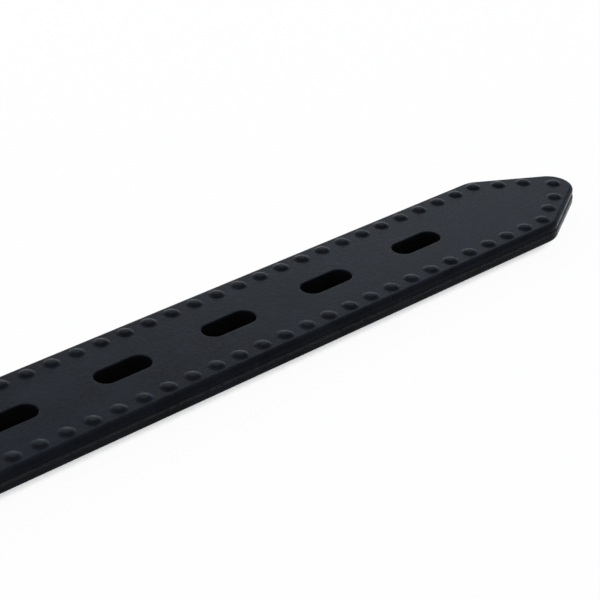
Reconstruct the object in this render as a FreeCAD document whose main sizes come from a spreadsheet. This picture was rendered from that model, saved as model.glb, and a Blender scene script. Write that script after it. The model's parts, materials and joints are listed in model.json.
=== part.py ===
import FreeCAD, Part
import math
import os
import Sketcher

# A moulded two-ply rubber buckle strap, laid out straight and face up.
# Row frame: +X runs from the buckle to the strap's tip, +Y is across, +Z is up.
# The origin is under the middle of the whole strap, on the surface it lies on.
# Each body is drawn about the buckle bar's axis and then set in place, so in the sketches x counts from
# the bar along the strap, and z counts from the joint between the two rubber plies.

doc = FreeCAD.newDocument("buckle_strap")

SIZES = [
    ("strap_width", 26.0, "width of the face ply"),
    ("face_thickness", 1.8, "upper rubber ply"),
    ("backing_thickness", 2.3, "lower rubber ply"),
    ("backing_proud", 0.15, "how far the lower ply stands out past the upper one"),
    ("top_rim_radius", 0.9, "rounding of the strap's top rim"),
    ("bottom_rim_radius", 0.5, "rounding of the strap's bottom rim"),
    ("plain_length", 150.0, "buckle bar to the first slot's centre"),
    ("slot_pitch", 25.4, "slot to slot"),
    ("slot_count", 5, "slots in the row"),
    ("slot_length", 12.3, "slot, end to end"),
    ("slot_width", 4.9, "slot, wall to wall"),
    ("tip_reach", 47.0, "last slot's centre to the tip"),
    ("tip_angle", 29.5, "degrees between the strap's side and its tapered edge"),
    ("tip_radius", 5.0, "rounding of the tip"),
    ("shoulder_radius", 7.0, "rounding where the taper starts"),
    ("beads_per_slot_pitch", 4.5, "bead spacings in one slot pitch"),
    ("bead_diameter", 3.0, "bead across its foot"),
    ("bead_height", 0.72, "bead above the face"),
    ("bead_inset", 2.9, "strap's side to the bead row"),
    ("corner_bead_reach", 28.0, "last slot's centre to the corner beads"),
    ("taper_bead_spacing", 5.775, "bead to bead along the taper"),
    ("taper_bead_angle", 28.7, "degrees between the taper's bead row and the strap"),
    ("tip_bead_inset", 4.0, "tip to the last bead"),
    ("tape_width", 5.0, "reinforcement tape"),
    ("tape_thickness", 0.6, "reinforcement tape"),
    ("tape_clearance", 0.1, "room round the tape"),
    ("bar_radius", 1.75, "buckle bar"),
    ("bar_end", 0.4, "rounded riveted ends of the bar, past the ears"),
    ("running_fit", 0.1, "radial clearance of what turns on a bar"),
    ("pressed_fit", 0.01, "radial clearance of the bar in the frame's ears"),
    ("fold_wall", 1.9, "rubber where the strap folds round the bar"),
    ("fold_angle", 25.0, "degrees at which the fold closes behind the bar"),
    ("fold_gap", 0.2, "gap between the strap and its folded end"),
    ("fold_end_land", 6.0, "last screw heads to the end of the folded end"),
    ("butt_gap", 0.3, "folded end to the lower ply"),
    ("window_width", 5.4, "opening in the fold for the tongue"),
    ("window_reach", 12.0, "bar to the far end of that opening"),
    ("window_land", 2.0, "that opening to the first screw heads"),
    ("screw_offset", 6.5, "strap's middle line to a screw"),
    ("post_radius", 2.3, "screw post's barrel"),
    ("thread_radius", 1.5, "screw's thread in the post"),
    ("screw_fit", 0.05, "radial clearance of the barrel and the thread"),
    ("head_radius", 4.0, "heads of post and screw"),
    ("head_thickness", 1.2, "heads of post and screw"),
    ("head_edge", 0.5, "rounding of the heads"),
    ("screw_end_room", 0.3, "barrel's end to the screw's head, and thread's end to the post's floor"),
    ("post_floor", 0.4, "metal under the thread's bore"),
    ("driver_slot_width", 1.0, "driver slot in the screw"),
    ("driver_slot_depth", 0.6, "driver slot in the screw"),
    ("keeper_thickness", 1.9, "rubber of both keepers"),
    ("keeper_length", 10.0, "both keepers, along the strap"),
    ("keeper_side_room", 0.4, "keeper to the strap's side"),
    ("keeper_under_room", 0.2, "keeper to the strap's underside"),
    ("keeper_corner", 0.8, "inside corners of both keepers"),
    ("keeper_edge", 0.5, "rounding of the keepers' edges"),
    ("keeper_end_room", 2.0, "fixed keeper to the screw heads that trap it"),
    ("keeper_headroom", 0.4, "room above the tail in the keepers"),
    ("slide_start", 92.0, "bar to the sliding keeper's middle"),
    ("frame_reach", 22.0, "bar axis to the front rail's axis"),
    ("frame_side_room", 0.65, "strap's side to the frame"),
    ("frame_arm_width", 4.0, "frame's side arms, across"),
    ("frame_arm_height", 5.4, "frame's side arms, up and down"),
    ("frame_ear", 3.6, "bar axis to the back of the frame's ears"),
    ("frame_nose", 3.4, "front rail's axis to the front of the arms"),
    ("frame_corner", 3.2, "rounding of the frame's outer corners"),
    ("frame_edge", 1.1, "rounding of the frame's edges"),
    ("rail_radius", 1.7, "front rail"),
    ("roller_radius", 3.0, "roller, outside"),
    ("roller_end_room", 0.3, "roller to each arm"),
    ("roller_seam", 0.3, "open seam along the roller"),
    ("tongue_width", 4.0, "tongue, across"),
    ("tongue_thickness", 1.8, "tongue and its eye"),
    ("tongue_seat_gap", 0.05, "tongue to the roller it lies on"),
    ("tongue_wrap", 38.0, "degrees of the roller that the tongue's nose covers"),
    ("tongue_nose_radius", 1.3, "rounding of the nose's corners"),
]

PLACES = [
    # screws, fixed keeper and folded end, counted from the bar
    ("near_screws", "sizes.window_reach + sizes.window_land + sizes.head_radius"),
    ("keeper_share", "sizes.keeper_length / 2 + sizes.keeper_end_room"),
    ("fixed_keeper", "places.near_screws + sizes.head_radius + places.keeper_share"),
    ("far_screws", "places.fixed_keeper + places.keeper_share + sizes.head_radius"),
    ("fold_end", "places.far_screws + sizes.head_radius + sizes.fold_end_land"),
    ("backing_start", "places.fold_end + sizes.butt_gap"),
    # fold round the bar, a ring that closes in two slopes
    ("fold_inner", "sizes.bar_radius + sizes.running_fit"),
    ("fold_outer", "places.fold_inner + sizes.fold_wall"),
    ("fold_sin", "sin(sizes.fold_angle)"),
    ("fold_cos", "cos(sizes.fold_angle)"),
    ("fold_top_end", "(places.fold_outer - sizes.face_thickness * places.fold_cos) / places.fold_sin"),
    ("fold_low_end", "(places.fold_outer - sizes.backing_thickness * places.fold_cos) / places.fold_sin"),
    ("fold_inner_end", "places.fold_inner / places.fold_sin"),
    ("fold_gap_end", "(places.fold_inner - sizes.fold_gap * places.fold_cos) / places.fold_sin"),
    ("face_start", "max(places.fold_top_end; places.fold_inner_end) + sizes.top_rim_radius"),
    # strap
    ("last_slot", "sizes.plain_length + (sizes.slot_count - 1) * sizes.slot_pitch"),
    ("tip", "places.last_slot + sizes.tip_reach"),
    ("tip_centre", "places.tip - sizes.tip_radius"),
    ("bead_pitch", "sizes.slot_pitch / sizes.beads_per_slot_pitch"),
    ("bead_row", "sizes.strap_width / 2 - sizes.bead_inset"),
    ("corner_bead", "places.last_slot + sizes.corner_bead_reach"),
    ("bead_rows_length", "places.corner_bead - places.fold_end - sizes.bead_diameter"),
    ("bead_ball", "(sizes.bead_diameter ^ 2 / 4 + sizes.bead_height ^ 2) / (2 * sizes.bead_height)"),
    ("bead_ball_height", "sizes.face_thickness + sizes.bead_height - places.bead_ball"),
    ("tape_start", "places.backing_start + sizes.slot_width"),
    ("tape_end", "places.last_slot + sizes.slot_length"),
    ("tape_middle", "(sizes.slot_width + sizes.strap_width) / 4"),
    ("tape_inner", "places.tape_middle - sizes.tape_width / 2"),
    ("tape_outer", "places.tape_middle + sizes.tape_width / 2"),
    # keepers
    ("keeper_inner", "sizes.strap_width / 2 + sizes.backing_proud + sizes.keeper_side_room"),
    ("keeper_low", "-sizes.backing_thickness - sizes.keeper_under_room"),
    ("beaded_face", "sizes.face_thickness + sizes.bead_height"),
    ("keeper_high", "2 * places.beaded_face + sizes.backing_thickness + sizes.keeper_headroom"),
    # buckle
    ("frame_inner", "sizes.strap_width / 2 + sizes.backing_proud + sizes.frame_side_room"),
    ("frame_outer", "places.frame_inner + sizes.frame_arm_width"),
    ("frame_front", "sizes.frame_reach + sizes.frame_nose"),
    ("eye_outer", "places.fold_inner + sizes.tongue_thickness"),
    ("eye_middle", "places.fold_inner + sizes.tongue_thickness / 2"),
    ("seat_radius", "sizes.roller_radius + sizes.tongue_seat_gap"),
    ("nose_outer", "places.seat_radius + sizes.tongue_thickness"),
    ("nose_reach", "places.nose_outer * sin(sizes.tongue_wrap)"),
    # whole
    ("buckle_front", "sizes.frame_reach + max(sizes.frame_nose; places.nose_reach)"),
    ("bar_x", "(places.buckle_front - places.tip) / 2"),
    ("keeper_depth", "-places.keeper_low + sizes.keeper_thickness"),
    ("axis_height", "max(places.keeper_depth; places.fold_outer)"),
]


def make_sizes():
    """Sheet of the driving sizes, one alias each."""
    sheet = doc.addObject("Spreadsheet::Sheet", "sizes")
    for row, (name, value, note) in enumerate(SIZES, start=1):
        sheet.set(f"A{row}", note)
        sheet.set(f"B{row}", str(value))
        sheet.setAlias(f"B{row}", name)
    doc.recompute()
    return sheet


def make_places():
    """Places and sizes worked out from the sheet."""
    places = doc.addObject("App::VarSet", "places")
    for name, formula in PLACES:
        places.addProperty("App::PropertyFloat", name, "places")
        places.setExpression(name, formula)
    doc.recompute()
    return places


sizes = make_sizes()
places = make_places()


def value(formula):
    """Present value of a formula in sizes and places."""
    return float(places.evalExpression(str(formula)))


def new_body(label, x="0", y="0"):
    """Body drawn about the bar's axis, x along the strap from it and y to its side."""
    body = doc.addObject("PartDesign::Body", label)
    body.Label = label
    body.setExpression(".Placement.Base.x", f"places.bar_x + {x}")
    body.setExpression(".Placement.Base.y", y)
    body.setExpression(".Placement.Base.z", "places.axis_height")
    return body


def new_sketch(body, name, role, offset="0"):
    """Sketch on one of the body's origin planes, moved along the plane's normal by offset."""
    sketch = body.newObject("Sketcher::SketchObject", f"{body.Label}_{name}")
    plane = [item for item in body.Origin.OriginFeatures if item.Role == role][0]
    sketch.AttachmentSupport = [(plane, "")]
    sketch.MapMode = "FlatFace"
    sketch.setExpression(".AttachmentOffset.Base.z", offset)
    return sketch


def bind(sketch, kind, geometry, formula, *more):
    """Add one named dimension to a sketch and tie it to a formula."""
    index = sketch.addConstraint(Sketcher.Constraint(kind, geometry, *more, value(formula)))
    name = f"{kind}_{geometry}_{'_'.join(str(item) for item in more)}"
    sketch.renameConstraint(index, name)
    sketch.setExpression(f"Constraints.{name}", str(formula))


def arc_between(start, end, radius, turn):
    """Shorter arc from start to end; turn is 1 anticlockwise, -1 clockwise."""
    middle = (start + end) * 0.5
    chord = end - start
    across = FreeCAD.Vector(-chord.y, chord.x, 0)
    across.normalize()
    height = math.sqrt(max(radius ** 2 - (chord.Length / 2) ** 2, 0))
    centre = middle + across * height * turn
    circle = Part.Circle(centre, FreeCAD.Vector(0, 0, 1), radius)
    first, last = (start, end) if turn > 0 else (end, start)
    return Part.ArcOfCircle(circle, circle.parameter(first), circle.parameter(last))


def outline(sketch, corners):
    """Closed outline. A corner is (x, y) after a straight run, or (x, y, radius, turn) after an arc."""
    points = [FreeCAD.Vector(value(corner[0]), value(corner[1]), 0) for corner in corners]
    ends = []
    for index, corner in enumerate(corners):
        start = points[index - 1]
        end = points[index]
        if len(corner) == 2:
            geometry = sketch.addGeometry(Part.LineSegment(start, end))
            ends.append((geometry, 1, 2))
            continue
        turn = corner[3]
        geometry = sketch.addGeometry(arc_between(start, end, value(corner[2]), turn))
        ends.append((geometry, 1, 2) if turn > 0 else (geometry, 2, 1))
        bind(sketch, "Radius", geometry, corner[2])
    for index, corner in enumerate(corners):
        geometry, first, last = ends[index]
        previous, _, previous_last = ends[index - 1]
        sketch.addConstraint(Sketcher.Constraint("Coincident", previous, previous_last, geometry, first))
        bind(sketch, "DistanceX", geometry, corner[0], last)
        bind(sketch, "DistanceY", geometry, corner[1], last)


def circle(sketch, x, y, radius):
    """Circle at x, y."""
    centre = FreeCAD.Vector(value(x), value(y), 0)
    geometry = sketch.addGeometry(Part.Circle(centre, FreeCAD.Vector(0, 0, 1), value(radius)))
    bind(sketch, "DistanceX", geometry, x, 3)
    bind(sketch, "DistanceY", geometry, y, 3)
    bind(sketch, "Radius", geometry, radius)


def rectangle(sketch, x0, y0, x1, y1):
    """Rectangle from x0, y0 to x1, y1."""
    outline(sketch, [(x0, y0), (x1, y0), (x1, y1), (x0, y1)])


def rounded_rectangle(sketch, x0, y0, x1, y1, radius):
    """Rectangle from x0, y0 to x1, y1 with round corners."""
    outline(sketch, [
        (f"{x1} - {radius}", y0),
        (x1, f"{y0} + {radius}", radius, 1),
        (x1, f"{y1} - {radius}"),
        (f"{x1} - {radius}", y1, radius, 1),
        (f"{x0} + {radius}", y1),
        (x0, f"{y1} - {radius}", radius, 1),
        (x0, f"{y0} + {radius}"),
        (f"{x0} + {radius}", y0, radius, 1),
    ])


def slot(sketch, x0, x1, half_width):
    """Round-ended slot along x, between its ends x0 and x1."""
    outline(sketch, [
        (f"{x1} - {half_width}", f"-{half_width}"),
        (x1, "0", half_width, 1),
        (f"{x1} - {half_width}", half_width, half_width, 1),
        (f"{x0} + {half_width}", half_width),
        (x0, "0", half_width, 1),
        (f"{x0} + {half_width}", f"-{half_width}", half_width, 1),
    ])


def padded(sketch, length):
    """Pad of a sketch, half to each side of its plane."""
    body = sketch.getParentGeoFeatureGroup()
    pad = body.newObject("PartDesign::Pad", f"{sketch.Name}_pad")
    pad.Profile = sketch
    pad.SideType = "Symmetric"
    pad.setExpression("Length", length)
    return pad


def layer(sketch, thickness, upwards):
    """Pad of a sketch on one side of its plane."""
    body = sketch.getParentGeoFeatureGroup()
    pad = body.newObject("PartDesign::Pad", f"{sketch.Name}_pad")
    pad.Profile = sketch
    pad.Reversed = not upwards
    pad.setExpression("Length", thickness)
    return pad


def cut_through(sketch):
    """Cut a sketch right through its body, to both sides."""
    body = sketch.getParentGeoFeatureGroup()
    pocket = body.newObject("PartDesign::Pocket", f"{sketch.Name}_cut")
    pocket.Profile = sketch
    pocket.SideType = "Symmetric"
    pocket.Type = "ThroughAll"
    return pocket


def cut_deep(sketch, depth, upwards):
    """Cut a sketch to a depth, up or down from its plane."""
    body = sketch.getParentGeoFeatureGroup()
    pocket = body.newObject("PartDesign::Pocket", f"{sketch.Name}_cut")
    pocket.Profile = sketch
    pocket.Reversed = upwards
    pocket.setExpression("Length", depth)
    return pocket


def turned(sketch):
    """Turn a half profile round the vertical axis of its sketch."""
    body = sketch.getParentGeoFeatureGroup()
    revolution = body.newObject("PartDesign::Revolution", f"{sketch.Name}_turned")
    revolution.Profile = sketch
    revolution.ReferenceAxis = (sketch, ["V_Axis"])
    revolution.Angle = 360
    return revolution


def origin_axis(body, role):
    """One of the body's own axes, as a pattern's direction."""
    axis = [item for item in body.Origin.OriginFeatures if item.Role == role][0]
    return (axis, [""])


def rounded_edges(body, name, radius, chosen):
    """Fillet on the edges of the body's shape so far for which chosen(edge) holds."""
    doc.recompute()
    base = body.Tip
    edges = base.Shape.Edges
    names = [f"Edge{index}" for index, edge in enumerate(edges, start=1) if chosen(edge)]
    fillet = body.newObject("PartDesign::Fillet", f"{body.Label}_{name}")
    fillet.Base = (base, names)
    fillet.setExpression("Radius", radius)
    return fillet


def edge_lies(edge, axis, at):
    """Whether the whole edge lies where its coordinate on the axis has the size at."""
    box = edge.BoundBox
    low, high = {"x": (box.XMin, box.XMax), "y": (box.YMin, box.YMax), "z": (box.ZMin, box.ZMax)}[axis]
    return high - low < 1e-3 and abs(abs(low) - at) < 1e-3


def strap_outline(sketch, start, proud):
    """Strap's outline from start to the pointed, rounded tip, set out by proud."""
    half = f"(sizes.strap_width / 2 + {proud})"
    tip_round = f"(sizes.tip_radius + {proud})"
    shoulder = f"(sizes.shoulder_radius + {proud})"
    lean_sin = "sin(sizes.tip_angle)"
    lean_cos = "cos(sizes.tip_angle)"
    corner = f"(places.tip_centre + ({tip_round} - {half} * {lean_cos}) / {lean_sin})"
    rounding = f"({shoulder} * tan(sizes.tip_angle / 2))"
    side_end = f"{corner} - {rounding}"
    taper_x = f"{corner} + {rounding} * {lean_cos}"
    taper_y = f"({half} - {rounding} * {lean_sin})"
    round_x = f"places.tip_centre + {tip_round} * {lean_sin}"
    round_y = f"({tip_round} * {lean_cos})"
    outline(sketch, [
        (start, f"-{half}"),
        (side_end, f"-{half}"),
        (taper_x, f"-{taper_y}", shoulder, 1),
        (round_x, f"-{round_y}"),
        (f"places.tip_centre + {tip_round}", "0", tip_round, 1),
        (round_x, round_y, tip_round, 1),
        (taper_x, taper_y),
        (side_end, half, shoulder, 1),
        (start, half),
    ])


def cut_slot_row(body):
    """Row of long slots down the strap's middle."""
    sketch = new_sketch(body, "slot", "XY_Plane")
    slot(sketch, "sizes.plain_length - sizes.slot_length / 2",
         "sizes.plain_length + sizes.slot_length / 2", "sizes.slot_width / 2")
    first = cut_through(sketch)
    row = body.newObject("PartDesign::LinearPattern", f"{body.Label}_slot_row")
    row.Originals = [first]
    row.Direction = origin_axis(body, "X_Axis")
    row.Mode = "Spacing"
    row.setExpression("Offset", "sizes.slot_pitch")
    row.setExpression("Occurrences", "sizes.slot_count")
    body.Tip = row


def cut_tape_beds(body, upwards):
    """Half of each tape's bed, on the ply's bonded side."""
    for side in (-1, 1):
        sketch = new_sketch(body, f"tape_bed_{'right' if side < 0 else 'left'}", "XY_Plane")
        edges = [
            f"{side} * (places.tape_inner - sizes.tape_clearance)",
            f"{side} * (places.tape_outer + sizes.tape_clearance)",
        ]
        rectangle(sketch, "places.tape_start - sizes.tape_clearance", edges[0],
                  "places.tape_end + sizes.tape_clearance", edges[1])
        body.Tip = cut_deep(sketch, "sizes.tape_thickness / 2", upwards)


def add_bead(body, name, x, y):
    """One round bead on the face; only its cap stands out of the rubber."""
    bead = body.newObject("PartDesign::AdditiveSphere", f"bead_{name}")
    plane = [item for item in body.Origin.OriginFeatures if item.Role == "XY_Plane"][0]
    bead.AttachmentSupport = [(plane, "")]
    bead.MapMode = "FlatFace"
    bead.setExpression(".AttachmentOffset.Base.x", x)
    bead.setExpression(".AttachmentOffset.Base.y", y)
    bead.setExpression(".AttachmentOffset.Base.z", "places.bead_ball_height")
    bead.setExpression("Radius", "places.bead_ball")
    bead.Angle1 = 0
    bead.Refine = False
    return bead


def add_beads(body):
    """Two rows of beads, two pairs along the taper and one bead at the tip."""
    for name, row in (("right", "-places.bead_row"), ("left", "places.bead_row")):
        first = add_bead(body, f"row_{name}", "places.corner_bead", row)
        beads = body.newObject("PartDesign::LinearPattern", f"bead_row_{name}_pattern")
        beads.Originals = [first]
        beads.Direction = origin_axis(body, "X_Axis")
        beads.Reversed = True
        beads.Refine = False
        beads.Mode = "Spacing"
        beads.setExpression("Offset", "places.bead_pitch")
        beads.setExpression("Occurrences", "floor(places.bead_rows_length / places.bead_pitch) + 1")
        body.Tip = beads
    for step in (1, 2):
        x = f"places.corner_bead + {step} * sizes.taper_bead_spacing * cos(sizes.taper_bead_angle)"
        y = f"(places.bead_row - {step} * sizes.taper_bead_spacing * sin(sizes.taper_bead_angle))"
        add_bead(body, f"taper_right_{step}", x, f"-{y}")
        add_bead(body, f"taper_left_{step}", x, y)
    add_bead(body, "tip", "places.tip - sizes.tip_bead_inset", "0")


def make_strap_face():
    """Upper ply with its beads and slots, folded round the bar and back under itself."""
    body = new_body("strap_face")
    plan = new_sketch(body, "plan", "XY_Plane")
    strap_outline(plan, "places.face_start", "0")
    layer(plan, "sizes.face_thickness", True)
    start = value("places.face_start")
    top = value("sizes.face_thickness")
    rounded_edges(body, "rim", "sizes.top_rim_radius",
                  lambda edge: edge_lies(edge, "z", top) and edge.BoundBox.XMax > start + 1e-3)
    add_beads(body)
    fold = new_sketch(body, "fold", "XZ_Plane")
    rings = [("outer", "places.fold_outer"), ("inner", "places.fold_inner")]
    ring = {name: (f"{radius} * places.fold_sin", f"{radius} * places.fold_cos", radius)
            for name, radius in rings}
    out_x, out_z, out_r = ring["outer"]
    in_x, in_z, in_r = ring["inner"]
    outline(fold, [
        ("places.face_start", "sizes.face_thickness"),
        ("places.fold_top_end", "sizes.face_thickness"),
        (out_x, out_z),
        (f"-{out_r}", "0", out_r, 1),
        (out_x, f"-{out_z}", out_r, 1),
        ("places.fold_low_end", "-sizes.backing_thickness"),
        ("places.fold_end", "-sizes.backing_thickness"),
        ("places.fold_end", "-sizes.fold_gap"),
        ("places.fold_gap_end", "-sizes.fold_gap"),
        (in_x, f"-{in_z}"),
        (f"-{in_r}", "0", in_r, -1),
        (in_x, in_z, in_r, -1),
        ("places.fold_inner_end", "0"),
        ("places.face_start", "0"),
    ])
    padded(fold, "sizes.strap_width")
    window = new_sketch(body, "window", "XY_Plane")
    slot(window, "-places.fold_outer - sizes.window_width", "sizes.window_reach", "sizes.window_width / 2")
    cut_through(window)
    holes = new_sketch(body, "screw_holes", "XY_Plane")
    for x in ("places.near_screws", "places.far_screws"):
        for y in ("-sizes.screw_offset", "sizes.screw_offset"):
            circle(holes, x, y, "sizes.post_radius + sizes.screw_fit")
    cut_through(holes)
    cut_slot_row(body)
    cut_tape_beds(body, True)
    return body


def make_strap_backing():
    """Lower ply, from the folded end to the tip."""
    body = new_body("strap_backing")
    plan = new_sketch(body, "plan", "XY_Plane")
    strap_outline(plan, "places.backing_start", "sizes.backing_proud")
    layer(plan, "sizes.backing_thickness", False)
    bottom = value("sizes.backing_thickness")
    start = value("places.backing_start")
    rounded_edges(body, "rim", "sizes.bottom_rim_radius",
                  lambda edge: edge_lies(edge, "z", bottom) and edge.BoundBox.XMax > start + 1e-3)
    cut_slot_row(body)
    cut_tape_beds(body, False)
    return body


def make_tape(label, side):
    """Woven tape between the plies, on one side of the slots."""
    body = new_body(label)
    plan = new_sketch(body, "plan", "XY_Plane")
    rectangle(plan, "places.tape_start", f"{side} * places.tape_inner",
              "places.tape_end", f"{side} * places.tape_outer")
    padded(plan, "sizes.tape_thickness")
    return body


def make_keeper(label, x):
    """Closed rubber band round the strap with room above it for the tail."""
    body = new_body(label, x)
    section = new_sketch(body, "section", "YZ_Plane")
    inner = "places.keeper_inner"
    wall = "sizes.keeper_thickness"
    rounded_rectangle(section, f"-{inner}", "places.keeper_low", inner, "places.keeper_high",
                      "sizes.keeper_corner")
    rounded_rectangle(section, f"-{inner} - {wall}", f"places.keeper_low - {wall}",
                      f"{inner} + {wall}", f"places.keeper_high + {wall}",
                      f"(sizes.keeper_corner + {wall})")
    padded(section, "sizes.keeper_length")
    end = value("sizes.keeper_length / 2")
    rounded_edges(body, "edges", "sizes.keeper_edge", lambda edge: edge_lies(edge, "x", end))
    return body


def make_screw_post(label, x, y):
    """Headed barrel from below, bored for the screw."""
    body = new_body(label, x, y)
    profile = new_sketch(body, "profile", "XZ_Plane")
    seat = "-sizes.backing_thickness"
    low = f"{seat} - sizes.head_thickness"
    top = "sizes.face_thickness - sizes.screw_end_room"
    floor = f"{seat} + sizes.post_floor"
    bore = "sizes.thread_radius + sizes.screw_fit"
    outline(profile, [
        ("0", low),
        ("sizes.head_radius - sizes.head_edge", low),
        ("sizes.head_radius", f"{low} + sizes.head_edge", "sizes.head_edge", 1),
        ("sizes.head_radius", seat),
        ("sizes.post_radius", seat),
        ("sizes.post_radius", top),
        (bore, top),
        (bore, floor),
        ("0", floor),
    ])
    turned(profile)
    return body


def make_screw_cap(label, x, y):
    """Slotted screw from above."""
    body = new_body(label, x, y)
    profile = new_sketch(body, "profile", "XZ_Plane")
    seat = "sizes.face_thickness"
    top = f"{seat} + sizes.head_thickness"
    end = "sizes.post_floor + sizes.screw_end_room - sizes.backing_thickness"
    outline(profile, [
        ("0", end),
        ("sizes.thread_radius", end),
        ("sizes.thread_radius", seat),
        ("sizes.head_radius", seat),
        ("sizes.head_radius", f"{top} - sizes.head_edge"),
        ("sizes.head_radius - sizes.head_edge", top, "sizes.head_edge", 1),
        ("0", top),
    ])
    turned(profile)
    driver = new_sketch(body, "driver_slot", "XY_Plane", top)
    rectangle(driver, "-sizes.head_radius - sizes.head_edge", "-sizes.driver_slot_width / 2",
              "sizes.head_radius + sizes.head_edge", "sizes.driver_slot_width / 2")
    cut_deep(driver, "sizes.driver_slot_depth", False)
    return body


def make_buckle_frame():
    """Two arms joined by the round front rail; their ears hold the bar."""
    body = new_body("buckle_frame")
    plan = new_sketch(body, "arms", "XY_Plane")
    corner = "sizes.frame_corner"
    for side in (1, -1):
        inner = f"{side} * places.frame_inner"
        outer = f"{side} * places.frame_outer"
        shoulder = f"{side} * (places.frame_outer - {corner})"
        outline(plan, [
            ("-places.frame_front", inner),
            ("sizes.frame_ear", inner),
            ("sizes.frame_ear", shoulder),
            (f"sizes.frame_ear - {corner}", outer, corner, side),
            (f"-places.frame_front + {corner}", outer),
            ("-places.frame_front", shoulder, corner, side),
        ])
    padded(plan, "sizes.frame_arm_height")
    half_height = value("sizes.frame_arm_height / 2")
    rounded_edges(body, "edges", "sizes.frame_edge", lambda edge: edge_lies(edge, "z", half_height))
    rail = new_sketch(body, "rail", "XZ_Plane")
    circle(rail, "-sizes.frame_reach", "0", "sizes.rail_radius")
    padded(rail, "2 * places.frame_inner + sizes.frame_arm_width")
    bore = new_sketch(body, "bar_bores", "XZ_Plane")
    circle(bore, "0", "0", "sizes.bar_radius + sizes.pressed_fit")
    cut_through(bore)
    return body


def make_buckle_bar():
    """Pin through both ears, on which the frame hangs in the fold and the tongue turns."""
    body = new_body("buckle_bar")
    section = new_sketch(body, "section", "XZ_Plane")
    circle(section, "0", "0", "sizes.bar_radius")
    padded(section, "2 * (places.frame_outer + sizes.bar_end)")
    end = value("places.frame_outer + sizes.bar_end")
    rounded_edges(body, "ends", "sizes.bar_end", lambda edge: edge_lies(edge, "y", end))
    return body


def make_buckle_roller():
    """Rolled tube, free to turn on the front rail, with its open seam underneath."""
    body = new_body("buckle_roller", "-sizes.frame_reach")
    section = new_sketch(body, "section", "XZ_Plane")
    circle(section, "0", "0", "sizes.roller_radius")
    circle(section, "0", "0", "sizes.rail_radius + sizes.running_fit")
    padded(section, "2 * (places.frame_inner - sizes.roller_end_room)")
    seam = new_sketch(body, "seam", "XZ_Plane")
    rectangle(seam, "-sizes.roller_seam / 2", "-sizes.roller_radius - sizes.roller_seam",
              "sizes.roller_seam / 2", "-sizes.rail_radius")
    cut_through(seam)
    return body


def make_buckle_tongue():
    """Flat tongue with an eye on the bar; its nose hooks over the roller."""
    body = new_body("buckle_tongue")
    profile = new_sketch(body, "profile", "XZ_Plane")
    reach = "sizes.frame_reach"
    wrap_sin = "sin(sizes.tongue_wrap)"
    wrap_cos = "cos(sizes.tongue_wrap)"
    outer = "places.nose_outer"
    inner = "places.seat_radius"
    outline(profile, [
        ("0", "places.eye_middle"),
        ("0", "places.eye_outer"),
        (f"-{reach}", outer),
        (f"-{reach} - {outer} * {wrap_sin}", f"{outer} * {wrap_cos}", outer, 1),
        (f"-{reach} - {inner} * {wrap_sin}", f"{inner} * {wrap_cos}"),
        (f"-{reach}", inner, inner, -1),
        (f"-places.eye_middle * {wrap_cos}", f"places.eye_middle * {wrap_sin}"),
    ])
    padded(profile, "sizes.tongue_width")
    nose = value(f"{reach} + {inner} * {wrap_sin}")
    rounded_edges(body, "nose_corners", "sizes.tongue_nose_radius",
                  lambda edge: edge.BoundBox.YLength < 1e-3 and edge.BoundBox.XMax < 1e-3 - nose)
    eye = new_sketch(body, "eye", "XZ_Plane")
    circle(eye, "0", "0", "places.eye_outer")
    padded(eye, "sizes.tongue_width")
    bore = new_sketch(body, "eye_bore", "XZ_Plane")
    circle(bore, "0", "0", "places.fold_inner")
    cut_through(bore)
    return body


def make_screws():
    """Four screw posts and their four screws, in two pairs."""
    screws = []
    places_in_plan = [(x, y) for x in ("places.near_screws", "places.far_screws")
                      for y in ("-sizes.screw_offset", "sizes.screw_offset")]
    for number, (x, y) in enumerate(places_in_plan, start=1):
        screws.append(make_screw_post(f"screw_post_{number}", x, y))
        screws.append(make_screw_cap(f"screw_cap_{number}", x, y))
    return screws


def check(bodies):
    """Stop on any failed object or broken shape."""
    for item in doc.Objects:
        if "Invalid" in item.State or "Error" in item.State:
            raise RuntimeError(f"{item.Name}: {item.State}")
    for body in bodies:
        shape = body.Shape
        if shape.isNull() or not shape.isValid() or len(shape.Solids) != 1:
            raise RuntimeError(f"{body.Label}: broken shape")


subparts = [
    make_strap_face(),
    make_strap_backing(),
    make_tape("reinforcement_tape_left", "1"),
    make_tape("reinforcement_tape_right", "-1"),
    make_keeper("fixed_keeper", "places.fixed_keeper"),
    make_keeper("sliding_keeper", "sizes.slide_start"),
    make_buckle_frame(),
    make_buckle_bar(),
    make_buckle_roller(),
    make_buckle_tongue(),
    *make_screws(),
]
doc.recompute()
check(subparts)
os.makedirs("parts", exist_ok=True)
for subpart in subparts:
    subpart.Shape.exportStep(f"parts/{subpart.Label}.step")
    box = subpart.Shape.BoundBox
    print(f"{subpart.Label}: volume {subpart.Shape.Volume:.1f}, x {box.XMin:.2f} to {box.XMax:.2f}, "
          f"y {box.YMin:.2f} to {box.YMax:.2f}, z {box.ZMin:.2f} to {box.ZMax:.2f}")
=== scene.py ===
import json

import bmesh
import bpy
import numpy as np
from bpy.props import FloatProperty, FloatVectorProperty, PointerProperty
from mathutils import Matrix, Vector
from mathutils.geometry import delaunay_2d_cdt


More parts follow.
